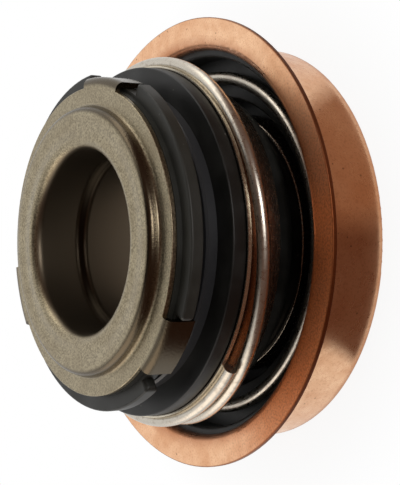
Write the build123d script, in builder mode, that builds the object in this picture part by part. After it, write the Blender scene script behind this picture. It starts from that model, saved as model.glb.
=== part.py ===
from build123d import *
import os
from math import cos, pi, sin, sqrt

# A unitised shaft seal for a small pump, in millimetres. +Z is the shaft axis and points
# to the rotating side. The origin is the centre of the case's floor, on its outside, and
# one drive tab lies on +X.

# ---------------------------------------------------------------- driving dimensions

# Case: a drawn cup with a mounting flange, a neck in its floor and a lip on the neck
flange_radius = 21.5
case_radius = 18.95
case_wall = 0.5
case_height = 8.0
case_mouth_bend = 0.25
case_floor_round = 0.35
neck_root_bend = 1.0
flange_edge_round = 0.12
neck_inner_radius = 10.6
neck_height = 4.4
neck_lip_radius = 9.3
neck_lip_bend = 0.3

# Rubber lining of the case, with a ledge round its foot that carries the spring
liner_wall = 0.65
liner_floor = 0.8
liner_top = 7.0
liner_hole_radius = 12.0
liner_foot_round = 0.4
liner_tip_round = 0.3
ledge_top = 4.53
ledge_inner_radius = 14.0
ledge_edge_round = 0.25

# Rubber bellows: a head that holds the carbon ring, a thin wall and a tail on the neck
head_front = 14.53
head_rim = 1.43
head_radius = 16.27
shelf_top = 12.3
shelf_thickness = 1.0
shelf_hole_radius = 10.4
head_rim_round = 0.15
bellows_wall = 0.9
bellows_wall_radius = 14.1
bellows_wall_foot = 7.6
bellows_wall_bend = 1.6
tail_wall = 1.0
tail_top = 4.6
tail_bend_top = 5.6
tail_bend = 0.8

# Steel band round the bellows' tail
band_sheet = 0.4
band_rear = 1.9
band_front = 4.1
band_edge_round = 0.12

# Stainless retainer round the bellows' head
ferrule_sheet = 0.35
ferrule_radius = 15.05
ferrule_lip_radius = 16.5
ferrule_end = 8.85
ferrule_bend = 0.5

# Carbon face ring
carbon_radius = 13.95
carbon_bore_radius = 9.7
carbon_shoulder = 15.6
nose_outer_radius = 12.9
nose_inner_radius = 11.0
nose_outer_draft = 0.2
nose_inner_draft = 0.3
carbon_bore_slope = 0.6
carbon_edge_chamfer = 0.2

# Seat ring and its rubber cup
seat_face = 16.3
seat_thickness = 2.0
seat_radius = 13.9
seat_bore_radius = 9.4
seat_edge_chamfer = 0.2
cup_radius = 15.6
cup_nose_radius = 14.2
cup_rear = 17.04
cup_edge_round = 0.2
cup_boss_clearance = 0.15
notch_floor_radius = 14.5
notch_angle = 30.0
notch_lead = 0.75
notch_overrun = 1.0
notch_end_round = 0.45

# Drive sleeve: tube, lip, raised boss, flange and three bent tabs
sleeve_sheet = 0.5
shaft_radius = 7.95
bore_relief = 0.55
relief_start = 15.0
relief_slope = 0.6
relief_bend = 0.7
sleeve_front = 20.4
lip_bend = 1.0
boss_radius = 12.2
boss_draft = 0.25
boss_shoulder_bend = 0.6
boss_foot_bend = 0.3
plate_radius = 14.17
plate_front = 19.32
tab_count = 3
tab_radius = 15.1
tab_end = 16.44
tab_angle = 23.0
tab_bend = 0.7
tab_root_lap = 0.4
sheared_edge_round = 0.08
flare_radius = 10.2
flare_bend = 0.8

# Spring: right-hand, of round wire, larger at its front end, with a closed coil at each end
wire_radius = 0.6
spring_front_radius = 16.8
spring_rear_radius = 15.9
front_closed_turns = 0.73
active_turns = 1.0
rear_closed_turns = 0.7
shrink_start_turn = 1.0
spring_end_angle = 237.0
points_per_turn = 14

# Gaps
film_gap = 0.02
rubber_gap = 0.05

# ---------------------------------------------------------------- worked out from them

cup_front = seat_face + seat_thickness
plate_rear = plate_front - sleeve_sheet
boss_rear = sleeve_front - sleeve_sheet
cup_boss_radius = boss_radius - sleeve_sheet - cup_boss_clearance
sleeve_outer_radius = shaft_radius + bore_relief + sleeve_sheet
neck_lip_underside = neck_height - case_wall
flare_rear = neck_lip_underside - rubber_gap - sleeve_sheet
neck_outer_radius = neck_inner_radius + case_wall
tail_inner_radius = neck_outer_radius + rubber_gap
tail_outer_radius = tail_inner_radius + tail_wall
tail_middle_radius = tail_inner_radius + tail_wall / 2
band_inner_radius = tail_outer_radius + rubber_gap
liner_radius = case_radius - case_wall
liner_floor_top = case_wall + liner_floor
tail_end = liner_floor_top + rubber_gap
head_rear = head_front - head_rim

os.makedirs("parts", exist_ok=True)


def tab_angles():
    return [360.0 / tab_count * k for k in range(tab_count)]


# ---------------------------------------------------------------- case

# The outside of the sheet, from the flange's rim to the edge of the neck's lip
with BuildPart() as case:
    with BuildSketch(Plane.XZ) as case_section:
        with BuildLine():
            case_skin = FilletPolyline(
                (flange_radius, case_height - case_wall),
                (case_radius, case_height - case_wall),
                (case_radius, 0),
                (neck_inner_radius, 0),
                (neck_inner_radius, neck_lip_underside),
                (neck_lip_radius, neck_lip_underside),
                radius=[case_mouth_bend, 0, neck_root_bend, neck_lip_bend],
            )
            offset(amount=case_wall, side=Side.RIGHT)
        make_face()
        floor_corner = case_section.vertices().group_by(Axis.Y)[0].sort_by(Axis.X)[-1]
        fillet(floor_corner, radius=case_floor_round)
        flange_edge = case_section.vertices().group_by(Axis.X)[-1]
        fillet(flange_edge, radius=flange_edge_round)
    revolve(axis=Axis.Z)
case.part.label = "case"

# ---------------------------------------------------------------- case liner

with BuildPart() as case_liner:
    with BuildSketch(Plane.XZ) as liner_section:
        with BuildLine():
            Polyline(
                (liner_hole_radius, case_wall),
                (liner_radius, case_wall),
                (liner_radius, liner_top),
                (liner_radius - liner_wall, liner_top),
                (liner_radius - liner_wall, ledge_top),
                (ledge_inner_radius, ledge_top),
                (ledge_inner_radius, liner_floor_top),
                (liner_hole_radius, liner_floor_top),
                close=True,
            )
        make_face()
        outer_corner = liner_section.vertices().group_by(Axis.X)[-1].sort_by(Axis.Y)[0]
        fillet(outer_corner, radius=liner_foot_round)
        wall_tip = liner_section.vertices().group_by(Axis.Y)[-1].sort_by(Axis.X)[0]
        fillet(wall_tip, radius=liner_tip_round)
        ledge_edge = liner_section.vertices().filter_by_position(Axis.Y, ledge_top, ledge_top)
        fillet(ledge_edge.sort_by(Axis.X)[0], radius=ledge_edge_round)
    revolve(axis=Axis.Z)
case_liner.part.label = "case_liner"

# ---------------------------------------------------------------- tail band

with BuildPart() as tail_band:
    with BuildSketch(Plane.XZ) as band_section:
        with BuildLine():
            Polyline(
                (band_inner_radius, band_rear),
                (band_inner_radius + band_sheet, band_rear),
                (band_inner_radius + band_sheet, band_front),
                (band_inner_radius, band_front),
                close=True,
            )
        make_face()
        fillet(band_section.vertices(), radius=band_edge_round)
    revolve(axis=Axis.Z)
tail_band.part.label = "tail_band"

# ---------------------------------------------------------------- bellows

with BuildPart() as bellows:
    with BuildSketch(Plane.XZ) as bellows_section:
        with BuildLine():
            Polyline(
                (carbon_radius, head_front),
                (head_radius, head_front),
                (head_radius, head_rear),
                (ferrule_radius, head_rear),
                (ferrule_radius, shelf_top - shelf_thickness),
                (shelf_hole_radius, shelf_top - shelf_thickness),
                (shelf_hole_radius, shelf_top),
                (carbon_radius, shelf_top),
                close=True,
            )
        make_face()
        rim_edge = bellows_section.vertices().group_by(Axis.X)[-1]
        fillet(rim_edge, radius=head_rim_round)
        with BuildLine():
            wall_line = FilletPolyline(
                (bellows_wall_radius, shelf_top - shelf_thickness / 2),
                (bellows_wall_radius, bellows_wall_foot),
                (tail_middle_radius, tail_bend_top),
                (tail_middle_radius, tail_top - rubber_gap),
                radius=[bellows_wall_bend, tail_bend],
            )
        trace(wall_line, line_width=bellows_wall)
        with BuildLine():
            Polyline(
                (tail_inner_radius, tail_end),
                (tail_outer_radius, tail_end),
                (tail_outer_radius, tail_top),
                (tail_inner_radius, tail_top),
                close=True,
            )
        make_face()
    revolve(axis=Axis.Z)
bellows.part.label = "bellows"

# ---------------------------------------------------------------- ferrule

# The side of the sheet that lies against the rubber, from the lip's rim to the skirt's end
with BuildPart() as ferrule:
    with BuildSketch(Plane.XZ) as ferrule_section:
        with BuildLine():
            FilletPolyline(
                (ferrule_lip_radius, head_rear),
                (ferrule_radius, head_rear),
                (ferrule_radius, ferrule_end),
                radius=ferrule_bend,
            )
            offset(amount=ferrule_sheet, side=Side.LEFT)
        make_face()
    revolve(axis=Axis.Z)
ferrule.part.label = "ferrule"

# ---------------------------------------------------------------- carbon ring

with BuildPart() as carbon_ring:
    with BuildSketch(Plane.XZ) as carbon_section:
        with BuildLine():
            Polyline(
                (carbon_bore_radius, shelf_top),
                (carbon_radius, shelf_top),
                (carbon_radius, carbon_shoulder),
                (nose_outer_radius + nose_outer_draft, carbon_shoulder),
                (nose_outer_radius, seat_face - film_gap),
                (nose_inner_radius, seat_face - film_gap),
                (nose_inner_radius - nose_inner_draft, carbon_shoulder),
                (carbon_bore_radius, carbon_shoulder - carbon_bore_slope),
                close=True,
            )
        make_face()
        shoulder_edge = carbon_section.vertices().group_by(Axis.X)[-1].sort_by(Axis.Y)[-1]
        chamfer(shoulder_edge, length=carbon_edge_chamfer)
    revolve(axis=Axis.Z)
carbon_ring.part.label = "carbon_ring"

# ---------------------------------------------------------------- seat ring

with BuildPart() as seat_ring:
    with BuildSketch(Plane.XZ) as seat_section:
        with BuildLine():
            Polyline(
                (seat_bore_radius, seat_face),
                (seat_radius, seat_face),
                (seat_radius, cup_front),
                (seat_bore_radius, cup_front),
                close=True,
            )
        make_face()
        chamfer(seat_section.vertices(), length=seat_edge_chamfer)
    revolve(axis=Axis.Z)
seat_ring.part.label = "seat_ring"

# ---------------------------------------------------------------- seat cup


def on_cup_side(edge):
    middle = edge.center()
    return sqrt(middle.X**2 + middle.Y**2) > cup_radius - cup_edge_round


# The cup fills the back of the boss, lies behind the flange and wraps the seat ring.
# Its notches reach from one flank of each tab, a little past the other.
with BuildPart() as seat_cup:
    with BuildSketch(Plane.XZ) as cup_section:
        with BuildLine():
            Polyline(
                (sleeve_outer_radius, cup_front),
                (seat_radius, cup_front),
                (seat_radius, cup_rear),
                (cup_radius, cup_rear),
                (cup_radius, cup_front),
                (cup_nose_radius, cup_front),
                (cup_nose_radius, plate_rear),
                (cup_boss_radius, plate_rear),
                (cup_boss_radius, boss_rear),
                (sleeve_outer_radius + lip_bend - sleeve_sheet, boss_rear),
                (sleeve_outer_radius, boss_rear - lip_bend + sleeve_sheet),
                close=True,
            )
        make_face()
        cup_edges = cup_section.vertices().group_by(Axis.X)[-1]
        fillet(cup_edges, radius=cup_edge_round)
    revolve(axis=Axis.Z)
    for angle in tab_angles():
        with BuildSketch(Plane.XZ.rotated((0, 0, angle + tab_angle / 2 + notch_lead))):
            with BuildLine():
                Polyline(
                    (notch_floor_radius, cup_rear - notch_overrun),
                    (cup_radius + notch_overrun, cup_rear - notch_overrun),
                    (cup_radius + notch_overrun, cup_front + notch_overrun),
                    (notch_floor_radius, cup_front + notch_overrun),
                    close=True,
                )
            make_face()
        revolve(axis=Axis.Z, revolution_arc=-notch_angle, mode=Mode.SUBTRACT)
    notch_ends = seat_cup.edges().filter_by(Axis.Z).filter_by(on_cup_side)
    fillet(notch_ends, radius=notch_end_round)
seat_cup.part.label = "seat_cup"

# ---------------------------------------------------------------- drive sleeve


def at_tab_end(face):
    return abs(face.center().Z - tab_end) < film_gap


# The side of the sheet that faces the shaft and then the front, from the rear flare's rim
# to the flange's edge. Each tab is the flange's sheet, carried out and bent to the rear.
with BuildPart() as drive_sleeve:
    with BuildSketch(Plane.XZ) as sleeve_section:
        with BuildLine():
            FilletPolyline(
                (flare_radius, flare_rear),
                (shaft_radius, flare_rear),
                (shaft_radius, relief_start),
                (shaft_radius + bore_relief, relief_start + relief_slope),
                (shaft_radius + bore_relief, sleeve_front),
                (boss_radius, sleeve_front),
                (boss_radius + boss_draft, plate_front),
                (plate_radius, plate_front),
                radius=[flare_bend, relief_bend, relief_bend, lip_bend, boss_shoulder_bend, boss_foot_bend],
            )
            offset(amount=sleeve_sheet, side=Side.RIGHT)
        make_face()
        plate_edge = sleeve_section.vertices().group_by(Axis.X)[-1]
        fillet(plate_edge, radius=sheared_edge_round)
    revolve(axis=Axis.Z)
    for angle in tab_angles():
        with BuildSketch(Plane.XZ.rotated((0, 0, angle - tab_angle / 2))):
            with BuildLine():
                FilletPolyline(
                    (plate_radius - tab_root_lap, plate_front),
                    (tab_radius, plate_front),
                    (tab_radius, tab_end),
                    radius=tab_bend,
                )
                offset(amount=sleeve_sheet, side=Side.RIGHT)
            make_face()
        revolve(axis=Axis.Z, revolution_arc=tab_angle)
    tab_ends = drive_sleeve.faces().filter_by(at_tab_end)
    fillet(tab_ends.edges(), radius=sheared_edge_round)
drive_sleeve.part.label = "drive_sleeve"

# ---------------------------------------------------------------- spring


def ease(x):
    x = min(max(x, 0.0), 1.0)
    return x * x * (3 - 2 * x)


lip_rim_drop = sqrt((wire_radius + film_gap) ** 2 - (spring_front_radius - ferrule_lip_radius) ** 2)
spring_front = head_rear - ferrule_sheet - lip_rim_drop
spring_rear = ledge_top + wire_radius + film_gap
active_rise = spring_front - spring_rear
shrink_turns = front_closed_turns + active_turns - shrink_start_turn
spring_turns = front_closed_turns + active_turns + rear_closed_turns


def wire_point(turn):
    """Centre of the wire, counted in turns from the front end, clockwise and to the rear."""
    descent = active_rise * ease((turn - front_closed_turns) / active_turns)
    shrink = ease((turn - shrink_start_turn) / shrink_turns)
    radius = spring_front_radius + (spring_rear_radius - spring_front_radius) * shrink
    angle = (spring_end_angle - 360 * turn) * pi / 180
    return Vector(radius * cos(angle), radius * sin(angle), spring_front - descent)


point_count = round(spring_turns * points_per_turn)
with BuildPart() as spring:
    with BuildLine() as wire_path:
        Spline([wire_point(spring_turns * i / point_count) for i in range(point_count + 1)])
    with BuildSketch(Plane(origin=wire_path.line @ 0, z_dir=wire_path.line % 0)):
        Circle(wire_radius)
    sweep(path=wire_path.line, is_frenet=True)
spring.part.label = "spring"

# ---------------------------------------------------------------- files

for piece in (
    case,
    case_liner,
    tail_band,
    bellows,
    ferrule,
    carbon_ring,
    seat_ring,
    seat_cup,
    drive_sleeve,
    spring,
):
    export_step(piece.part, f"parts/{piece.part.label}.step")
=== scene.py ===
"""A unitised pump shaft seal, dressed over its packed CAD frame and laid out as an add-on.

The seal stands on the floor of its copper-plated case, with +Z along the shaft. Eight of its
ten pieces keep their CAD forms and get their finishes here. The coil spring and the rubber
bellows are built here, because both shorten when the head is pressed back.
"""

import math

import bmesh
import bpy
from mathutils import Matrix, Vector


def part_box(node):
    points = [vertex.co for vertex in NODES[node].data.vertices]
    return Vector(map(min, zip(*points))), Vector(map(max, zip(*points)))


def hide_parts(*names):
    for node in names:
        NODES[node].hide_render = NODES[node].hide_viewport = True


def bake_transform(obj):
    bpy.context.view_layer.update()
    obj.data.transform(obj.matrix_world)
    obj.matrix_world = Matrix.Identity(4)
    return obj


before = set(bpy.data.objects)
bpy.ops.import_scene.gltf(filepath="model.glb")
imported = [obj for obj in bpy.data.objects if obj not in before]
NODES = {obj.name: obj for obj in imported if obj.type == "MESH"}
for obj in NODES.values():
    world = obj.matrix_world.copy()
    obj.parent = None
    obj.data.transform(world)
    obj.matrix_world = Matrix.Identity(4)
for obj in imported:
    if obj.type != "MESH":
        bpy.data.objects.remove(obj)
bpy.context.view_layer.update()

bl_info = {
    "name": "Pump Shaft Seal",
    "version": (1, 0, 0),
    "blender": (4, 5, 0),
    "location": "3D View > Sidebar > Shaft Seal",
    "description": "Builds the spring and the bellows of a unitised shaft seal and finishes each piece",
    "category": "Object",
}

MM = 0.001

SPRING_LOW, SPRING_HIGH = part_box("spring")
BELLOWS_LOW, BELLOWS_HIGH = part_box("bellows")
CASE_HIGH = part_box("case")[1]
FERRULE_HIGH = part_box("ferrule")[1]

WIRE_RADIUS = 0.6 * MM


# ---------------------------------------------------------------- colours and nodes


def linear(code):
    """Linear RGBA of an sRGB hex colour such as "#C98A66"."""
    channels = [int(code[i : i + 2], 16) / 255 for i in (1, 3, 5)]
    curve = [c / 12.92 if c <= 0.04045 else ((c + 0.055) / 1.055) ** 2.4 for c in channels]
    return (*curve, 1.0)


def add_node(tree, kind, inputs=(), **settings):
    """Adds one node with its settings, and gives its inputs their values or links.

    The inputs are a row in the order of the sockets in use, or a dict by socket name. A node
    given as an input stands for its first output in use.
    """
    node = tree.nodes.new(kind)
    for name, value in settings.items():
        setattr(node, name, value)
    if isinstance(inputs, dict):
        given = [(node.inputs[name], value) for name, value in inputs.items()]
    else:
        given = list(zip([socket for socket in node.inputs if socket.enabled], inputs))
    for socket, value in given:
        if isinstance(value, bpy.types.Node):
            value = next(output for output in value.outputs if output.enabled)
        if isinstance(value, bpy.types.NodeSocket):
            tree.links.new(value, socket)
        else:
            socket.default_value = value
    return node


def new_material(name):
    """An empty node material and its tree."""
    material = bpy.data.materials.new(name)
    material.use_nodes = True
    tree = material.node_tree
    tree.nodes.clear()
    return material, tree


def surface(tree, **inputs):
    """A Principled surface with these inputs. Underscores in names stand for spaces."""
    values = {name.replace("_", " "): value for name, value in inputs.items()}
    shader = add_node(tree, "ShaderNodeBsdfPrincipled", values)
    add_node(tree, "ShaderNodeOutputMaterial", {"Surface": shader})


def per_mm(size):
    """The scale of a pattern whose features are size millimetres across."""
    return 1 / (size * MM)


def overlaid(tree, base, colour, pattern, span, share):
    """A colour over the base, its share going between two values over the pattern's span."""
    amount = add_node(tree, "ShaderNodeMapRange", (pattern, *span, *share))
    return add_node(tree, "ShaderNodeMix", (amount, base, colour), data_type="RGBA")


def shaft_parts(tree, place):
    """A place's part across the shaft's axis, and its height along it."""
    x, y, height = add_node(tree, "ShaderNodeSeparateXYZ", (place,)).outputs
    return add_node(tree, "ShaderNodeCombineXYZ", (x, y)), height


def on_ring(tree, across, height, ring):
    """The place's angle laid on a ring of that radius, at its own height."""
    direction = add_node(tree, "ShaderNodeVectorMath", (across,), operation="NORMALIZE")
    turned = add_node(tree, "ShaderNodeVectorMath", (direction, ring), operation="SCALE")
    rise = add_node(tree, "ShaderNodeCombineXYZ", {"Z": height})
    return add_node(tree, "ShaderNodeVectorMath", (turned, rise), operation="ADD")


def band(tree, radius, inner, outer):
    """1 between two radii and 0 elsewhere. Each soft edge is a pair of radii."""
    rise = add_node(tree, "ShaderNodeMapRange", (radius, *inner, 0.0, 1.0))
    fall = add_node(tree, "ShaderNodeMapRange", (radius, *outer, 1.0, 0.0))
    return add_node(tree, "ShaderNodeMath", (rise, fall), operation="MULTIPLY")


# ---------------------------------------------------------------- finishes

# In the rows of inputs below, a noise takes its place, scale and detail, and speckles take the
# first two. A Map Range takes its value, the two ends of its span and what it gives at each.
# Grit, grain and fine lines are coarser here than on the real pieces, so that they show.

# A ring of about the case wall's radius, on which a pattern keeps its size round the wall
CASE_RING = 18.9 * MM
# A ring much smaller than the piece, which stretches a pattern into short lines round it
LINE_RING = 4.0 * MM

# Heights where the flange's painted shade sets in, and where the painted shade at the floor's turn ends
FLANGE_EDGE = (CASE_HIGH.z - 1.2 * MM, CASE_HIGH.z - 0.6 * MM)
FOOT_SHADE_HEIGHTS = (0.2 * MM, 0.8 * MM)
# Radii of the painted shade in the case's mouth and on the sheared rim
MOUTH_SHADE_EDGE = (CASE_HIGH.x - 3.0 * MM, CASE_HIGH.x - 1.6 * MM)
RIM_SHADE_EDGE = (CASE_HIGH.x - 0.14 * MM, CASE_HIGH.x - 0.05 * MM)
# The side of the flange towards the camera, which gets painted shade: its middle, and how squarely a
# place faces that way
SHADED_SIDE = (-0.087, -0.996, 0.0)
SHADED_SIDE_SPAN = (0.45 * CASE_RING, 0.93 * CASE_RING)


def copper_plating(finish):
    """Satin copper flash plated on deep-drawn steel: a warm, slightly grainy metal.

    The plating has brown tarnish in patches, fine dark grain and pin specks where it is thin,
    and faint ripples from the drawing die. Painted shade turns it brown where the sheet rolls
    into the mouth and at the turn of the floor, and darker on the sheared rim, which is also
    duller. The side of the flange towards the camera is painted a deep red-brown for its shade,
    and is rougher.
    """
    material, tree = new_material("satin_copper_plating")
    place = add_node(tree, "ShaderNodeTexCoord").outputs["Object"]
    across, height = shaft_parts(tree, place)
    radius = add_node(tree, "ShaderNodeVectorMath", (across,), operation="LENGTH")
    ring = on_ring(tree, across, height, CASE_RING)
    patches = add_node(tree, "ShaderNodeTexNoise", (place, per_mm(7.0), 3.0))
    mottle = add_node(tree, "ShaderNodeTexNoise", (place, per_mm(1.1), 4.0))
    grain = add_node(tree, "ShaderNodeTexNoise", (place, per_mm(0.2), 3.0))
    specks = add_node(tree, "ShaderNodeTexVoronoi", (place, per_mm(1.3)))
    ripples = add_node(tree, "ShaderNodeTexNoise", (ring, per_mm(0.45), 2.0))

    tarnish = tuple(finish.copper_tarnish)
    brown = linear("#94522E")
    colour = overlaid(tree, tuple(finish.copper), tarnish, patches, (0.4, 0.7), (0.0, 0.55))
    colour = overlaid(tree, colour, tarnish, mottle, (0.35, 0.7), (0.0, 0.3))
    colour = overlaid(tree, colour, brown, grain, (0.5, 0.75), (0.0, 0.34))
    colour = overlaid(tree, colour, linear("#4A2A1A"), specks, (0.04, 0.09), (0.6, 0.0))

    on_flange = add_node(tree, "ShaderNodeMapRange", (height, *FLANGE_EDGE, 0.0, 1.0))
    # Painted shade where the flange rolls into the mouth
    mouth = add_node(tree, "ShaderNodeMapRange", (radius, *MOUTH_SHADE_EDGE, 0.75, 0.0))
    mouth = add_node(tree, "ShaderNodeMath", (mouth, on_flange), operation="MULTIPLY")
    # Painted shade: the side of the flange towards the camera turns a deep red-brown
    facing = add_node(tree, "ShaderNodeVectorMath", (ring, SHADED_SIDE), operation="DOT_PRODUCT")
    side_shade = add_node(tree, "ShaderNodeMapRange", (facing, *SHADED_SIDE_SPAN, 0.0, 0.85))
    side_shade = add_node(tree, "ShaderNodeMath", (side_shade, on_flange), operation="MULTIPLY")
    # Painted shade at the foot, where the case meets the floor
    foot_shade = add_node(tree, "ShaderNodeMapRange", (height, *FOOT_SHADE_HEIGHTS, 0.65, 0.0))
    # Painted shade on the sheared rim, which is also rougher
    rim = add_node(tree, "ShaderNodeMapRange", (radius, *RIM_SHADE_EDGE, 0.0, 0.85))
    red_brown = overlaid(
        tree, linear("#C86C34"), linear("#7C3C1A"), grain, (0.4, 0.68), (0.0, 0.75)
    )
    # The painted shades, each with its mask, laid over the plating's colour
    painted_shades = (
        (mouth, linear("#9A5530")),
        (side_shade, red_brown),
        (foot_shade, brown),
        (rim, linear("#6E3C22")),
    )
    for mask, shade in painted_shades:
        colour = add_node(tree, "ShaderNodeMix", (mask, colour, shade), data_type="RGBA")

    rough = add_node(tree, "ShaderNodeMapRange", (mottle, 0.3, 0.7, 0.24, 0.36))
    for mask in (side_shade, rim):
        rough = add_node(tree, "ShaderNodeMix", (mask, rough, 0.5))
    relief = add_node(tree, "ShaderNodeMath", (grain, ripples), operation="ADD")
    normal = add_node(tree, "ShaderNodeBump", {"Height": relief, "Distance": 0.003 * MM})
    surface(tree, Base_Color=colour, Metallic=1.0, Roughness=rough, Normal=normal)
    return material


# Radii on the drive sleeve, each the pair of radii over which a mask goes from 0 to 1 or back
BORE_EDGE = (8.6 * MM, 8.8 * MM)
STEP_INNER, STEP_OUTER = (8.0 * MM, 8.1 * MM), (8.4 * MM, 8.48 * MM)
FLANK_INNER, FLANK_OUTER = (11.7 * MM, 12.0 * MM), (12.3 * MM, 12.6 * MM)
TAB_BEND = (14.2 * MM, 14.5 * MM)
# The dish in the boss's face: the radius of its middle and half its width
DISH_RADIUS = 10.3 * MM
DISH_REACH = 1.1 * MM


def blasted_stainless(finish):
    """Stainless sheet blasted with fine glass grit: a warm grey, even and grainy, with no streaks.

    The boss's flank and the bent tabs, which the die has drawn, are smoother, and painted darker
    for their shade. The grit doesn't reach far into the bore, which is smooth, and painted dark
    for the shade inside it, darkest at its step. The face is dished a little between the lip and
    the shoulder.
    """
    material, tree = new_material("blasted_stainless")
    place = add_node(tree, "ShaderNodeTexCoord").outputs["Object"]
    across = shaft_parts(tree, place)[0]
    radius = add_node(tree, "ShaderNodeVectorMath", (across,), operation="LENGTH")
    grit = add_node(tree, "ShaderNodeTexNoise", (place, per_mm(0.16), 3.0))
    cloud = add_node(tree, "ShaderNodeTexNoise", (place, per_mm(2.2), 4.0))

    bore = add_node(tree, "ShaderNodeMapRange", (radius, *BORE_EDGE, 1.0, 0.0))
    step = band(tree, radius, STEP_INNER, STEP_OUTER)
    flank = band(tree, radius, FLANK_INNER, FLANK_OUTER)
    bent = add_node(tree, "ShaderNodeMapRange", (radius, *TAB_BEND, 0.0, 1.0))
    # Flank and tab bends: smoother from the die, and painted darker for their shade
    drawn = add_node(tree, "ShaderNodeMath", (flank, bent), operation="MAXIMUM")

    pits, tops = tuple(finish.blasted_dark), tuple(finish.blasted)
    colour = overlaid(tree, pits, tops, grit, (0.36, 0.64), (0.0, 1.0))
    colour = overlaid(tree, colour, linear("#7C705A"), cloud, (0.42, 0.72), (0.0, 0.45))
    # Painted shade in the bore and its step, on the boss's flank and in the tabs' bends
    for mask, code in ((bore, "#5C5346"), (step, "#26211A"), (drawn, "#544B3D")):
        colour = add_node(tree, "ShaderNodeMix", (mask, colour, linear(code)), data_type="RGBA")

    rough = add_node(tree, "ShaderNodeMapRange", (grit, 0.3, 0.7, 0.3, 0.42))
    for mask, smoother in ((drawn, 0.26), (bore, 0.4)):
        rough = add_node(tree, "ShaderNodeMix", (mask, rough, smoother))

    off_middle = add_node(tree, "ShaderNodeMath", (radius, DISH_RADIUS), operation="SUBTRACT")
    off_middle = add_node(tree, "ShaderNodeMath", (off_middle,), operation="ABSOLUTE")
    dish = add_node(
        tree,
        "ShaderNodeMapRange",
        (off_middle, 0.0, DISH_REACH),
        interpolation_type="SMOOTHSTEP",
    )
    dished = add_node(tree, "ShaderNodeBump", {"Height": dish, "Distance": 0.09 * MM})
    grit_height = add_node(tree, "ShaderNodeMix", (bore, grit, 0.5))
    normal = add_node(
        tree, "ShaderNodeBump", {"Height": grit_height, "Distance": 0.016 * MM, "Normal": dished}
    )
    surface(tree, Base_Color=colour, Metallic=1.0, Roughness=rough, Normal=normal)
    return material


# Radii of the painted highlight on the retainer lip's edge, and heights where the painted shade at its
# front sets in
LIP_HIGHLIGHT_EDGE = (FERRULE_HIGH.x - 0.2 * MM, FERRULE_HIGH.x - 0.08 * MM)
FRONT_SHADE_EDGE = (FERRULE_HIGH.z - 1.9 * MM, FERRULE_HIGH.z - 1.2 * MM)


def rolled_stainless(finish):
    """Cold-rolled stainless strip: a soft sheen with faint lines round it.

    The retainer is painted brown-black at its front, for the shade under its lip, and its
    lip's edge is painted brighter, as a highlight.
    """
    material, tree = new_material("cold_rolled_stainless")
    place = add_node(tree, "ShaderNodeTexCoord").outputs["Object"]
    across, height = shaft_parts(tree, place)
    radius = add_node(tree, "ShaderNodeVectorMath", (across,), operation="LENGTH")
    ring = on_ring(tree, across, height, LINE_RING)
    lines = add_node(tree, "ShaderNodeTexNoise", (ring, per_mm(0.15), 2.0))
    rolled = tuple(finish.rolled)
    # Painted shade at the front, under the lip
    colour = overlaid(tree, rolled, linear("#2B2320"), height, FRONT_SHADE_EDGE, (0.0, 0.85))
    # Painted highlight on the lip's edge
    colour = overlaid(tree, colour, linear("#C9C0AE"), radius, LIP_HIGHLIGHT_EDGE, (0.0, 1.0))
    rough = add_node(tree, "ShaderNodeMapRange", (lines, 0.3, 0.7, 0.22, 0.3))
    normal = add_node(tree, "ShaderNodeBump", {"Height": lines, "Distance": 0.002 * MM})
    surface(tree, Base_Color=colour, Metallic=1.0, Roughness=rough, Normal=normal)
    return material


# Width of the lines that the die leaves along the spring wire
DIE_LINE = 0.1 * MM


def drawn_wire(finish):
    """Hard-drawn, polished stainless spring wire: bright, with fine die lines along its length.

    The lines follow the wire's own attribute, which counts in wire radii round the wire.
    """
    material, tree = new_material("polished_spring_wire")
    place = add_node(tree, "ShaderNodeTexCoord").outputs["Object"]
    wire = add_node(tree, "ShaderNodeAttribute", attribute_name="wire").outputs["Vector"]
    lines = add_node(tree, "ShaderNodeTexNoise", (wire, WIRE_RADIUS / DIE_LINE, 3.0))
    spots = add_node(tree, "ShaderNodeTexNoise", (place, per_mm(0.5), 4.0))
    bright = tuple(finish.wire)
    colour = overlaid(tree, bright, linear("#7C6A5A"), spots, (0.55, 0.75), (0.0, 0.5))
    rough = add_node(tree, "ShaderNodeMapRange", (spots, 0.3, 0.7, 0.24, 0.36))
    normal = add_node(tree, "ShaderNodeBump", {"Height": lines, "Distance": 0.012 * MM})
    surface(tree, Base_Color=colour, Metallic=1.0, Roughness=rough, Normal=normal)
    return material


def moulded_rubber(name, colour, roughness, grain_depth):
    """Compression-moulded nitrile rubber: near black, with a faint grey bloom and specks of dust.

    The fine grain of the mould breaks up its sheen. Its roughness is a pair, from clean rubber
    to bloomed, and the grain's depth is in millimetres.
    """
    material, tree = new_material(name)
    place = add_node(tree, "ShaderNodeTexCoord").outputs["Object"]
    bloom = add_node(tree, "ShaderNodeTexNoise", (place, per_mm(3.0), 4.0))
    grain = add_node(tree, "ShaderNodeTexNoise", (place, per_mm(0.18), 2.0))
    dust = add_node(tree, "ShaderNodeTexVoronoi", (place, per_mm(1.9)))
    shade = overlaid(tree, colour, linear("#3A3A37"), bloom, (0.45, 0.8), (0.0, 0.25))
    shade = overlaid(tree, shade, linear("#6E6C66"), dust, (0.03, 0.05), (0.5, 0.0))
    rough = add_node(tree, "ShaderNodeMapRange", (bloom, 0.3, 0.7, *roughness))
    normal = add_node(tree, "ShaderNodeBump", {"Height": grain, "Distance": grain_depth * MM})
    surface(tree, Base_Color=shade, Roughness=rough, IOR=1.4, Normal=normal)
    return material


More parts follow.
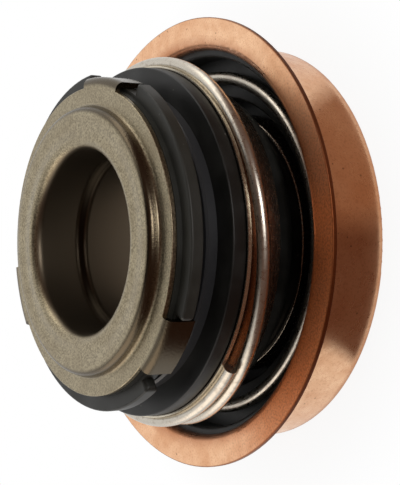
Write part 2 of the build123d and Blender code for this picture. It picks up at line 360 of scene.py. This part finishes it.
def lapped_carbon(finish):
    """Carbon graphite, turned and lapped: dark grey with a dull sheen and faint turning lines."""
    material, tree = new_material("carbon_graphite")
    place = add_node(tree, "ShaderNodeTexCoord").outputs["Object"]
    across, height = shaft_parts(tree, place)
    ring = on_ring(tree, across, height, LINE_RING)
    turning = add_node(tree, "ShaderNodeTexNoise", (ring, per_mm(0.12), 2.0))
    grain = add_node(tree, "ShaderNodeTexNoise", (place, per_mm(0.12), 3.0))
    shades = (tuple(finish.carbon), linear("#2E2E30"))
    colour = add_node(tree, "ShaderNodeMix", (grain, *shades), data_type="RGBA")
    rough = add_node(tree, "ShaderNodeMapRange", (grain, 0.3, 0.7, 0.34, 0.46))
    normal = add_node(tree, "ShaderNodeBump", {"Height": turning, "Distance": 0.004 * MM})
    surface(tree, Base_Color=colour, Roughness=rough, Normal=normal)
    return material


def ground_carbide(finish):
    """Sintered silicon carbide, ground and lapped: a dark, dense ceramic with a cold gloss."""
    material, tree = new_material("silicon_carbide")
    place = add_node(tree, "ShaderNodeTexCoord").outputs["Object"]
    grain = add_node(tree, "ShaderNodeTexNoise", (place, per_mm(0.1), 3.0))
    shades = (tuple(finish.carbide), linear("#55565A"))
    colour = add_node(tree, "ShaderNodeMix", (grain, *shades), data_type="RGBA")
    normal = add_node(tree, "ShaderNodeBump", {"Height": grain, "Distance": 0.002 * MM})
    surface(tree, Base_Color=colour, Roughness=0.18, IOR=2.0, Normal=normal)
    return material


def dress(node, material):
    """Gives a CAD node its finish."""
    mesh = NODES[node].data
    mesh.materials.clear()
    mesh.materials.append(material)


# ---------------------------------------------------------------- settings


def length(title, text, default):
    return bpy.props.FloatProperty(
        name=title, description=text, default=default, unit="LENGTH", precision=5
    )


def turns(title, text, default):
    return bpy.props.FloatProperty(name=title, description=text, default=default, min=0.1)


def colour(title, text, code):
    return bpy.props.FloatVectorProperty(
        name=title, description=text, default=linear(code), size=4, subtype="COLOR", min=0, max=1
    )


class SealFinishes(bpy.types.PropertyGroup):
    """Colours of the seal's materials."""

    copper: colour("Copper", "Bright copper plating of the case", "#ECC09A")
    copper_tarnish: colour("Tarnish", "Brown tarnish in the copper", "#C58456")
    blasted: colour("Blasted steel", "Drive sleeve, tops of the grain", "#A3987F")
    blasted_dark: colour("Blasted steel, pits", "Drive sleeve, pits of the grain", "#746A56")
    rolled: colour("Rolled steel", "Retainer and tail band", "#9A9184")
    wire: colour("Spring wire", "Polished spring wire", "#BBB4A8")
    cup_rubber: colour("Seat cup rubber", "Rubber of the seat cup", "#20201C")
    bellows_rubber: colour("Bellows rubber", "Rubber of the bellows", "#0A0A08")
    liner_rubber: colour("Liner rubber", "Rubber inside the case", "#0B0B08")
    carbon: colour("Carbon", "Carbon graphite of the face ring", "#1C1C1E")
    carbide: colour("Silicon carbide", "Ceramic of the seat ring", "#3A3B3F")


class SpringSizes(bpy.types.PropertyGroup):
    """Sizes of the coil spring."""

    wire_radius: length("Wire radius", "Radius of the spring wire", WIRE_RADIUS)
    front_radius: length(
        "Front coil radius", "Radius of the coil under the retainer's lip", SPRING_HIGH.x - WIRE_RADIUS
    )
    rear_radius: length("Rear coil radius", "Radius of the coil on the liner's ledge", 15.9 * MM)
    front_height: length(
        "Front height", "Height of the wire's centre at the front end", SPRING_HIGH.z - WIRE_RADIUS
    )
    rear_height: length(
        "Rear height", "Height of the wire's centre at the rear end", SPRING_LOW.z + WIRE_RADIUS
    )
    front_closed_turns: turns("Front closed turns", "Turns that lie flat at the front", 0.73)
    active_turns: turns("Active turns", "Open turns", 1.0)
    rear_closed_turns: turns("Rear closed turns", "Turns that lie flat at the rear", 0.7)
    end_angle: bpy.props.FloatProperty(
        name="End angle",
        description="Angle of the front end about the shaft",
        default=math.radians(237),
        subtype="ANGLE",
    )


class BellowsSizes(bpy.types.PropertyGroup):
    """Sizes of the rubber bellows."""

    head_radius: length("Head radius", "Outer radius of the head's rim", BELLOWS_HIGH.x)
    head_front: length("Head front", "Height of the head's front face", BELLOWS_HIGH.z)
    rim_depth: length("Rim depth", "Depth of the head's rim", 1.43 * MM)
    rim_rounding: length("Rim rounding", "Rounding of the rim's two edges", 0.16 * MM)
    carbon_radius: length("Carbon radius", "Radius of the pocket for the carbon ring", 13.95 * MM)
    wall: length("Wall", "Thickness of the rolling wall", 0.9 * MM)
    wall_radius: length("Wall radius", "Radius of the wall's middle under the head", 14.1 * MM)
    tail_radius: length("Tail radius", "Inner radius of the tail", 11.15 * MM)
    tail_end: length("Tail end", "Height of the tail's end", BELLOWS_LOW.z)


class StageSettings(bpy.types.PropertyGroup):
    """Camera and light."""

    lens: bpy.props.FloatProperty(
        name="Lens", description="Focal length", default=105.54, subtype="DISTANCE_CAMERA"
    )
    distance: length("Camera distance", "From the camera to the place it looks at", 136.9 * MM)
    lamp_level: bpy.props.FloatProperty(
        name="Lamp level", description="Brightness of every soft box", default=1.0, min=0
    )
    world_level: bpy.props.FloatProperty(
        name="Room level", description="Brightness of the room's fill", default=0.26, min=0
    )
    floor: colour("Floor", "Pale floor", "#F4F3F1")


# ---------------------------------------------------------------- meshes

LATHE_SEGMENTS = 256
ARC_STEPS = 6
SHARP_ANGLE = math.radians(35)


def mesh_object(name, mesh):
    made = bpy.data.objects.new(name, mesh)
    bpy.context.scene.collection.objects.link(made)
    return made


def rounded(corners):
    """A closed outline from corners of (radius, height, rounding). A rounding of 0 stays sharp."""
    places = [Vector(corner[:2]) for corner in corners]
    outline = []
    for i, here in enumerate(places):
        rounding = corners[i][2]
        if rounding == 0:
            outline.append(here)
            continue
        back = (places[i - 1] - here).normalized()
        ahead = (places[(i + 1) % len(places)] - here).normalized()
        half = back.angle(ahead) / 2
        centre = here + (back + ahead).normalized() * (rounding / math.sin(half))
        first = here + back * (rounding / math.tan(half)) - centre
        last = here + ahead * (rounding / math.tan(half)) - centre
        turn = first.angle_signed(last)
        for step in range(ARC_STEPS + 1):
            a = -turn * step / ARC_STEPS
            spun = Vector(
                (
                    first.x * math.cos(a) - first.y * math.sin(a),
                    first.x * math.sin(a) + first.y * math.cos(a),
                )
            )
            outline.append(centre + spun)
    return outline


def lathe(name, outline):
    """A closed ring turned about the shaft from a closed outline of (radius, height)."""
    work = bmesh.new()
    rings = []
    for s in range(LATHE_SEGMENTS):
        a = math.tau * s / LATHE_SEGMENTS
        ring = [work.verts.new((p.x * math.cos(a), p.x * math.sin(a), p.y)) for p in outline]
        rings.append(ring)
    count = len(outline)
    for s in range(LATHE_SEGMENTS):
        near, far = rings[s], rings[(s + 1) % LATHE_SEGMENTS]
        for i in range(count):
            j = (i + 1) % count
            work.faces.new((near[i], far[i], far[j], near[j]))
    bmesh.ops.recalc_face_normals(work, faces=work.faces)
    for face in work.faces:
        face.smooth = True
    mesh = bpy.data.meshes.new(name)
    work.to_mesh(mesh)
    work.free()
    mesh.set_sharp_from_angle(angle=SHARP_ANGLE)
    return mesh_object(name, mesh)


# The bellows' shelf behind the carbon ring, and where its wall turns in to its tail
POCKET_DEPTH = 2.23 * MM
SHELF = 1.0 * MM
SHELF_HOLE = 10.4 * MM
HEAD_BODY = 15.05 * MM
TAIL_WALL = 1.0 * MM
SHOULDER_HEIGHT = 6.9 * MM
TAIL_TOP = 5.2 * MM
# How much higher the inner side of the wall makes the same two turns
SHOULDER_RISE = 0.6 * MM
TAIL_RISE = 0.4 * MM


def bellows_outline(size):
    """The bellows' section, from the rim of the pocket out and down to the tail and back up."""
    pocket_floor = size.head_front - POCKET_DEPTH
    shelf_under = pocket_floor - SHELF
    rim_under = size.head_front - size.rim_depth
    outer, inner = size.wall_radius + size.wall / 2, size.wall_radius - size.wall / 2
    tail_outer = size.tail_radius + TAIL_WALL
    # radius, height and rounding
    corners = (
        (size.carbon_radius, size.head_front, 0),
        (size.head_radius, size.head_front, size.rim_rounding),
        (size.head_radius, rim_under, size.rim_rounding),
        (HEAD_BODY, rim_under, 0),
        (HEAD_BODY, shelf_under, 0.1 * MM),
        (outer, shelf_under, 0.2 * MM),
        (outer, SHOULDER_HEIGHT, 1.3 * MM),
        (tail_outer, TAIL_TOP, 0.7 * MM),
        (tail_outer, size.tail_end, 0.2 * MM),
        (size.tail_radius, size.tail_end, 0.2 * MM),
        (size.tail_radius, TAIL_TOP + TAIL_RISE, 0.5 * MM),
        (inner, SHOULDER_HEIGHT + SHOULDER_RISE, 0.7 * MM),
        (inner, shelf_under, 0.3 * MM),
        (SHELF_HOLE, shelf_under, 0.15 * MM),
        (SHELF_HOLE, pocket_floor, 0.15 * MM),
        (size.carbon_radius, pocket_floor, 0),
    )
    return rounded(corners)


# ---------------------------------------------------------------- spring tree

# Sizes that the tree takes, which are SpringSizes' own
SPRING_INPUTS = (
    "Wire Radius",
    "Front Radius",
    "Rear Radius",
    "Front Height",
    "Rear Height",
    "Front Closed Turns",
    "Active Turns",
    "Rear Closed Turns",
    "End Angle",
)
# Points along the wire and round it
WIRE_FACETS = {"Points": 1100, "Sides": 40}
# The coil keeps its front radius for this many turns, then narrows to the rear
FRONT_FULL_TURNS = 1.0
# How far the wire's pattern runs on along it in each turn, in wire radii: little, for long lines
LINE_RUN = 0.25


def spring_tree(material):
    """Geometry Nodes: a right-hand coil with closed ends, swept with a round wire."""
    tree = bpy.data.node_groups.new("coil_spring", "GeometryNodeTree")
    sockets = tree.interface
    sockets.new_socket("Geometry", in_out="OUTPUT", socket_type="NodeSocketGeometry")
    for title in SPRING_INPUTS:
        sockets.new_socket(title, in_out="INPUT", socket_type="NodeSocketFloat")
    for title in WIRE_FACETS:
        sockets.new_socket(title, in_out="INPUT", socket_type="NodeSocketInt")
    size = add_node(tree, "NodeGroupInput").outputs

    # Turns from the front end, which all the rest follows
    part = add_node(tree, "GeometryNodeSplineParameter").outputs["Factor"]
    open_from = size["Front Closed Turns"]
    open_to = add_node(tree, "ShaderNodeMath", (open_from, size["Active Turns"]), operation="ADD")
    all_turns = add_node(
        tree, "ShaderNodeMath", (open_to, size["Rear Closed Turns"]), operation="ADD"
    )
    turn = add_node(tree, "ShaderNodeMath", (part, all_turns), operation="MULTIPLY")

    height = add_node(
        tree,
        "ShaderNodeMapRange",
        (turn, open_from, open_to, size["Front Height"], size["Rear Height"]),
        interpolation_type="SMOOTHSTEP",
    )
    radius = add_node(
        tree,
        "ShaderNodeMapRange",
        (turn, FRONT_FULL_TURNS, open_to, size["Front Radius"], size["Rear Radius"]),
        interpolation_type="SMOOTHSTEP",
    )
    wound = add_node(tree, "ShaderNodeMath", (turn, math.tau), operation="MULTIPLY")
    angle = add_node(tree, "ShaderNodeMath", (size["End Angle"], wound), operation="SUBTRACT")
    cosine = add_node(tree, "ShaderNodeMath", (angle,), operation="COSINE")
    sine = add_node(tree, "ShaderNodeMath", (angle,), operation="SINE")
    x = add_node(tree, "ShaderNodeMath", (radius, cosine), operation="MULTIPLY")
    y = add_node(tree, "ShaderNodeMath", (radius, sine), operation="MULTIPLY")
    place = add_node(tree, "ShaderNodeCombineXYZ", (x, y, height))

    line = add_node(tree, "GeometryNodeCurvePrimitiveLine")
    spine = add_node(tree, "GeometryNodeResampleCurve", {"Curve": line, "Count": size["Points"]})
    coil = add_node(tree, "GeometryNodeSetPosition", {"Geometry": spine, "Position": place})
    along = add_node(tree, "ShaderNodeMath", (turn, LINE_RUN), operation="MULTIPLY")
    kept_along = add_node(tree, "GeometryNodeCaptureAttribute", {"Geometry": coil})
    kept_along.capture_items.new("FLOAT", "along")
    tree.links.new(along.outputs[0], kept_along.inputs["along"])

    section = add_node(
        tree,
        "GeometryNodeCurvePrimitiveCircle",
        {"Resolution": size["Sides"], "Radius": size["Wire Radius"]},
    )
    spot = add_node(tree, "GeometryNodeInputPosition")
    unit = add_node(tree, "ShaderNodeVectorMath", (spot,), operation="NORMALIZE")
    kept_round = add_node(tree, "GeometryNodeCaptureAttribute", {"Geometry": section})
    kept_round.capture_items.new("VECTOR", "round")
    tree.links.new(unit.outputs[0], kept_round.inputs["round"])

    wire = add_node(
        tree,
        "GeometryNodeCurveToMesh",
        {"Curve": kept_along, "Profile Curve": kept_round, "Fill Caps": True},
    )
    rise = add_node(tree, "ShaderNodeCombineXYZ", {"Z": kept_along.outputs["along"]})
    both = add_node(
        tree, "ShaderNodeVectorMath", (kept_round.outputs["round"], rise), operation="ADD"
    )
    marked = add_node(
        tree,
        "GeometryNodeStoreNamedAttribute",
        {"Geometry": wire, "Name": "wire", "Value": both},
        data_type="FLOAT_VECTOR",
        domain="POINT",
    )
    real = add_node(tree, "GeometryNodeRealizeInstances", {"Geometry": marked})
    smooth = add_node(tree, "GeometryNodeSetShadeSmooth", {"Geometry": real})
    painted = add_node(
        tree, "GeometryNodeSetMaterial", {"Geometry": smooth, "Material": material}
    )
    add_node(tree, "NodeGroupOutput", {"Geometry": painted})
    return tree


def grown(name, tree, values):
    """The mesh that a tree makes with these input values, as a plain object."""
    seed = mesh_object(name, bpy.data.meshes.new(name + "_seed"))
    modifier = seed.modifiers.new("grow", "NODES")
    modifier.node_group = tree
    keys = {s.name: s.identifier for s in tree.interface.items_tree if s.in_out == "INPUT"}
    for title, value in values.items():
        modifier[keys[title]] = value
    bpy.context.view_layer.update()
    graph = bpy.context.evaluated_depsgraph_get()
    mesh = bpy.data.meshes.new_from_object(seed.evaluated_get(graph))
    if not mesh.polygons:
        raise RuntimeError(f"{name}: the tree made no faces")
    mesh.name = name
    seed.modifiers.clear()
    seed.data = mesh
    return seed


# ---------------------------------------------------------------- stage

# The place on the shaft that the lamps face, and the camera's aim, backward and upward ways
LAMP_AIM = Vector((0, 0, 8 * MM))
CAMERA_AIM = Vector((0.04, -0.55, 7.2)) * MM
CAMERA_BACK = Vector((0.1161, -0.8176, 0.5640))
CAMERA_UP = Vector((0.9897, 0.1435, 0.0043))

# Each soft box: direction from the seal, distance and width in metres, brightness, colour
SOFT_BOXES = (
    ("box_right", (0.86, 0.1, 0.42), 0.34, 0.34, 1.7, "#FFF8EE"),
    ("box_left", (-0.86, 0.05, 0.36), 0.34, 0.3, 1.2, "#FFEEDC"),
    ("box_back", (-0.1, 0.8, 0.58), 0.36, 0.34, 0.1, "#FFFAF3"),
    ("box_strip", (0.407, -0.914, 0.243), 0.144, 0.05, 9.0, "#FFFFFF"),
)

FLOOR_HALF = 3.0
# Distances from the shaft over which the floor goes from showing its shadow to plain white
SHADOW_SPAN = (19 * MM, 30 * MM)
SHADOW_WHITE = (0.9, 1.0)

# Outlines of the two dark cards, as (radius, height): one at the case's foot, one round the room
CARD_FOOT = ((19.4 * MM, 0.2 * MM), (27 * MM, 0.2 * MM))
CARD_ROOM = (
    (27 * MM, 0.2 * MM),
    (130 * MM, 0.2 * MM),
    (150 * MM, 20 * MM),
    (150 * MM, 190 * MM),
    (120 * MM, 240 * MM),
)
CARD_FACETS = 60
# Tones that the cards glow with, seen only as painted reflections of a dim room; they fade into plain
# white at the ends of the foot card
DARK_REFLECTION = "#66493C"
PALE_REFLECTION = "#9C7E6C"
PLAIN_WHITE = "#FFFFFF"
# Where the tones lie, by angle about the shaft in degrees: the dark one beside the pale one
FOOT_TONES = (
    (-120, PLAIN_WHITE),
    (-115, DARK_REFLECTION),
    (-80, DARK_REFLECTION),
    (-70, PALE_REFLECTION),
    (-35, PALE_REFLECTION),
    (-25, PLAIN_WHITE),
)
ROOM_TONES = ((-150, DARK_REFLECTION), (10, DARK_REFLECTION))
# The card over the seal and the camera, whose glow is a painted reflection of a dark ceiling: two
# opposite corners, height and tone
CEILING_LOW = (-110 * MM, -125 * MM)
CEILING_HIGH = (110 * MM, 80 * MM)
CEILING_HEIGHT = 240 * MM
CEILING_REFLECTION = "#453832"


def sheet(name, low, high, height):
    """A level rectangle between two opposite corners."""
    corners = [(low[0], low[1]), (high[0], low[1]), (high[0], high[1]), (low[0], high[1])]
    mesh = bpy.data.meshes.new(name)
    mesh.from_pydata([(x, y, height) for x, y in corners], [], [(0, 1, 2, 3)])
    return mesh_object(name, mesh)


def background_rays(tree):
    """1 for the rays that see the background: from the camera, and off or through the seal."""
    path = add_node(tree, "ShaderNodeLightPath").outputs
    seen = (path["Is Camera Ray"], path["Is Glossy Ray"])
    seen = add_node(tree, "ShaderNodeMath", seen, operation="MAXIMUM")
    return add_node(
        tree, "ShaderNodeMath", (seen, path["Is Transmission Ray"]), operation="MAXIMUM"
    )


def pale_floor(settings):
    """A floor that reads white where the light is even and keeps the seal's soft shadow."""
    floor = sheet("floor", (-FLOOR_HALF, -FLOOR_HALF), (FLOOR_HALF, FLOOR_HALF), 0)
    material, tree = new_material("pale_floor")
    place = add_node(tree, "ShaderNodeTexCoord").outputs["Object"]
    away = add_node(tree, "ShaderNodeVectorMath", (place,), operation="LENGTH")
    near_share = add_node(tree, "ShaderNodeMapRange", (away, *SHADOW_SPAN, *SHADOW_WHITE))
    shares = (background_rays(tree), near_share)
    share = add_node(tree, "ShaderNodeMath", shares, operation="MULTIPLY")
    lit = add_node(tree, "ShaderNodeBsdfDiffuse", {"Color": tuple(settings.floor)})
    white = add_node(tree, "ShaderNodeEmission", {"Strength": 1.0})
    mixed = add_node(tree, "ShaderNodeMixShader", (share, lit, white))
    add_node(tree, "ShaderNodeOutputMaterial", {"Surface": mixed})
    floor.data.materials.append(material)


def white_room(settings):
    """A world that is white to the rays that see it, and a dim fill to the rest."""
    world = bpy.data.worlds.new("white_room")
    bpy.context.scene.world = world
    world.use_nodes = True
    tree = world.node_tree
    tree.nodes.clear()
    levels = (0.0, 1.0, settings.world_level, 1.0)
    fill = add_node(tree, "ShaderNodeMapRange", (background_rays(tree), *levels))
    room = add_node(tree, "ShaderNodeBackground", {"Color": linear(PLAIN_WHITE), "Strength": fill})
    add_node(tree, "ShaderNodeOutputWorld", {"Surface": room})


def hang(card, material, tree, tone):
    """Makes a card shine with its tone on its own, and shows it only in reflections."""
    light = add_node(tree, "ShaderNodeEmission", {"Color": tone})
    add_node(tree, "ShaderNodeOutputMaterial", {"Surface": light})
    card.data.materials.append(material)
    card.visible_camera = False
    card.visible_diffuse = False
    card.visible_shadow = False
    card.visible_transmission = False


def ceiling_card():
    """A card over the seal and the camera that glows dark in reflections: a painted reflection of a
    ceiling.
    """
    card = sheet("card_ceiling", CEILING_LOW, CEILING_HIGH, CEILING_HEIGHT)
    material, tree = new_material("card_ceiling")
    hang(card, material, tree, linear(CEILING_REFLECTION))


def dark_card(name, profile, tones):
    """A card on the camera's side, whose glowing tone changes round the seal: a painted reflection of
    the room.
    """
    start, end = math.radians(tones[0][0]), math.radians(tones[-1][0])
    points, faces = [], []
    for i in range(CARD_FACETS + 1):
        a = start + (end - start) * i / CARD_FACETS
        points += [(radius * math.cos(a), radius * math.sin(a), z) for radius, z in profile]
    rows = len(profile)
    for i in range(CARD_FACETS):
        for j in range(rows - 1):
            k = i * rows + j
            faces.append((k, k + 1, k + rows + 1, k + rows))
    mesh = bpy.data.meshes.new(name)
    mesh.from_pydata(points, [], faces)
    card = mesh_object(name, mesh)

    material, tree = new_material(name)
    place = add_node(tree, "ShaderNodeTexCoord").outputs["Object"]
    parts = add_node(tree, "ShaderNodeSeparateXYZ", (place,)).outputs
    angle = add_node(tree, "ShaderNodeMath", (parts["Y"], parts["X"]), operation="ARCTAN2")
    round_card = add_node(tree, "ShaderNodeMapRange", (angle, start, end, 0.0, 1.0))
    tone = add_node(tree, "ShaderNodeValToRGB", {"Fac": round_card})
    stops = tone.color_ramp.elements
    while len(stops) < len(tones):
        stops.new(0.5)
    for stop, (degrees, code) in zip(stops, tones):
        stop.position = (math.radians(degrees) - start) / (end - start)
        stop.color = linear(code)
    hang(card, material, tree, tone)


def soft_box(name, direction, distance, width, level, tint):
    """A square lamp whose face has that brightness, turned to the lamps' aim on the shaft."""
    lamp = bpy.data.lights.new(name, "AREA")
    lamp.shape = "SQUARE"
    lamp.size = width
    lamp.energy = level * math.pi * width * width
    lamp.color = linear(tint)[:3]
    made = bpy.data.objects.new(name, lamp)
    bpy.context.scene.collection.objects.link(made)
    way = Vector(direction).normalized()
    turned = way.to_track_quat("Z", "Y").to_matrix().to_4x4()
    made.matrix_world = Matrix.Translation(LAMP_AIM + way * distance) @ turned
    made.visible_camera = False


def set_camera(settings):
    """The camera looks down on the seal's front from its near side, turned on its side."""
    back = CAMERA_BACK.normalized()
    right = CAMERA_UP.cross(back).normalized()
    up = back.cross(right)
    camera = bpy.data.cameras.new("camera")
    camera.lens = settings.lens
    camera.clip_start = 5 * MM
    camera.clip_end = 20
    made = bpy.data.objects.new("camera", camera)
    bpy.context.scene.collection.objects.link(made)
    turned = Matrix((right, up, back)).transposed().to_4x4()
    made.matrix_world = Matrix.Translation(CAMERA_AIM + back * settings.distance) @ turned
    bpy.context.scene.camera = made


# ---------------------------------------------------------------- operators

# Roughness of each rubber, from clean to bloomed, and the depth of its grain in millimetres
LINER_RUBBER = ((0.42, 0.52), 0.002)
CUP_RUBBER = ((0.42, 0.55), 0.006)
BELLOWS_RUBBER = ((0.4, 0.52), 0.004)


class SEAL_OT_case(bpy.types.Operator):
    """Plate the drawn case with copper and finish its rubber lining"""

    bl_idname = "seal.case"
    bl_label = "Case and Lining"

    def execute(self, context):
        finish = context.scene.seal_finishes
        dress("case", copper_plating(finish))
        rubber = tuple(finish.liner_rubber)
        dress("case_liner", moulded_rubber("moulded_nitrile_lining", rubber, *LINER_RUBBER))
        return {"FINISHED"}


class SEAL_OT_sleeve(bpy.types.Operator):
    """Finish the stamped drive sleeve with its three tabs"""

    bl_idname = "seal.sleeve"
    bl_label = "Drive Sleeve"

    def execute(self, context):
        dress("drive_sleeve", blasted_stainless(context.scene.seal_finishes))
        return {"FINISHED"}


class SEAL_OT_seat(bpy.types.Operator):
    """Finish the rotating seat ring and its rubber cup"""

    bl_idname = "seal.seat"
    bl_label = "Seat and Cup"

    def execute(self, context):
        finish = context.scene.seal_finishes
        dress("seat_ring", ground_carbide(finish))
        rubber = tuple(finish.cup_rubber)
        dress("seat_cup", moulded_rubber("moulded_nitrile_cup", rubber, *CUP_RUBBER))
        return {"FINISHED"}


class SEAL_OT_face(bpy.types.Operator):
    """Finish the carbon ring, its retainer and the band on the bellows' tail"""

    bl_idname = "seal.face"
    bl_label = "Carbon Ring and Retainer"

    def execute(self, context):
        finish = context.scene.seal_finishes
        dress("carbon_ring", lapped_carbon(finish))
        strip = rolled_stainless(finish)
        dress("ferrule", strip)
        dress("tail_band", strip)
        return {"FINISHED"}


class SEAL_OT_bellows(bpy.types.Operator):
    """Turn the rubber bellows that joins the head to the case"""

    bl_idname = "seal.bellows"
    bl_label = "Bellows"

    def execute(self, context):
        bellows = lathe("rubber_bellows", bellows_outline(context.scene.seal_bellows))
        rubber = tuple(context.scene.seal_finishes.bellows_rubber)
        finish = moulded_rubber("moulded_nitrile_bellows", rubber, *BELLOWS_RUBBER)
        bellows.data.materials.append(finish)
        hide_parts("bellows")
        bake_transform(bellows)
        return {"FINISHED"}


class SEAL_OT_spring(bpy.types.Operator):
    """Wind the coil spring between the liner's ledge and the retainer's lip"""

    bl_idname = "seal.spring"
    bl_label = "Coil Spring"

    def execute(self, context):
        size = context.scene.seal_spring
        sizes = {title: getattr(size, title.lower().replace(" ", "_")) for title in SPRING_INPUTS}
        tree = spring_tree(drawn_wire(context.scene.seal_finishes))
        spring = grown("coil_spring", tree, {**sizes, **WIRE_FACETS})
        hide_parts("spring")
        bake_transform(spring)
        return {"FINISHED"}


class SEAL_OT_stage(bpy.types.Operator):
    """Set the pale floor, the soft boxes, the cards, the room and the camera"""

    bl_idname = "seal.stage"
    bl_label = "Stage"

    def execute(self, context):
        settings = context.scene.seal_stage
        context.scene.view_settings.view_transform = "Standard"
        pale_floor(settings)
        white_room(settings)
        for name, direction, distance, width, level, tint in SOFT_BOXES:
            soft_box(name, direction, distance, width, level * settings.lamp_level, tint)
        dark_card("card_foot", CARD_FOOT, FOOT_TONES)
        dark_card("card_room", CARD_ROOM, ROOM_TONES)
        ceiling_card()
        set_camera(settings)
        return {"FINISHED"}


class SEAL_PT_panel(bpy.types.Panel):
    """Buttons that build and finish the seal, and its settings"""

    bl_idname = "SEAL_PT_panel"
    bl_label = "Shaft Seal"
    bl_space_type = "VIEW_3D"
    bl_region_type = "UI"
    bl_category = "Shaft Seal"

    def draw(self, context):
        for step in STEPS:
            self.layout.operator(step.bl_idname)
        for name, group in GROUPS.items():
            box = self.layout.box()
            box.label(text=group.__doc__)
            for setting in group.__annotations__:
                box.prop(getattr(context.scene, name), setting)


STEPS = (
    SEAL_OT_case,
    SEAL_OT_sleeve,
    SEAL_OT_seat,
    SEAL_OT_face,
    SEAL_OT_bellows,
    SEAL_OT_spring,
    SEAL_OT_stage,
)
GROUPS = {
    "seal_finishes": SealFinishes,
    "seal_spring": SpringSizes,
    "seal_bellows": BellowsSizes,
    "seal_stage": StageSettings,
}


def register():
    for name, group in GROUPS.items():
        bpy.utils.register_class(group)
        setattr(bpy.types.Scene, name, bpy.props.PointerProperty(type=group))
    for made in (*STEPS, SEAL_PT_panel):
        bpy.utils.register_class(made)


def unregister():
    for made in (SEAL_PT_panel, *reversed(STEPS)):
        bpy.utils.unregister_class(made)
    for name, group in reversed(GROUPS.items()):
        delattr(bpy.types.Scene, name)
        bpy.utils.unregister_class(group)


def main():
    register()
    bpy.ops.seal.case()
    bpy.ops.seal.sleeve()
    bpy.ops.seal.seat()
    bpy.ops.seal.face()
    bpy.ops.seal.bellows()
    bpy.ops.seal.spring()
    bpy.ops.seal.stage()


if __name__ == "__main__":
    main()
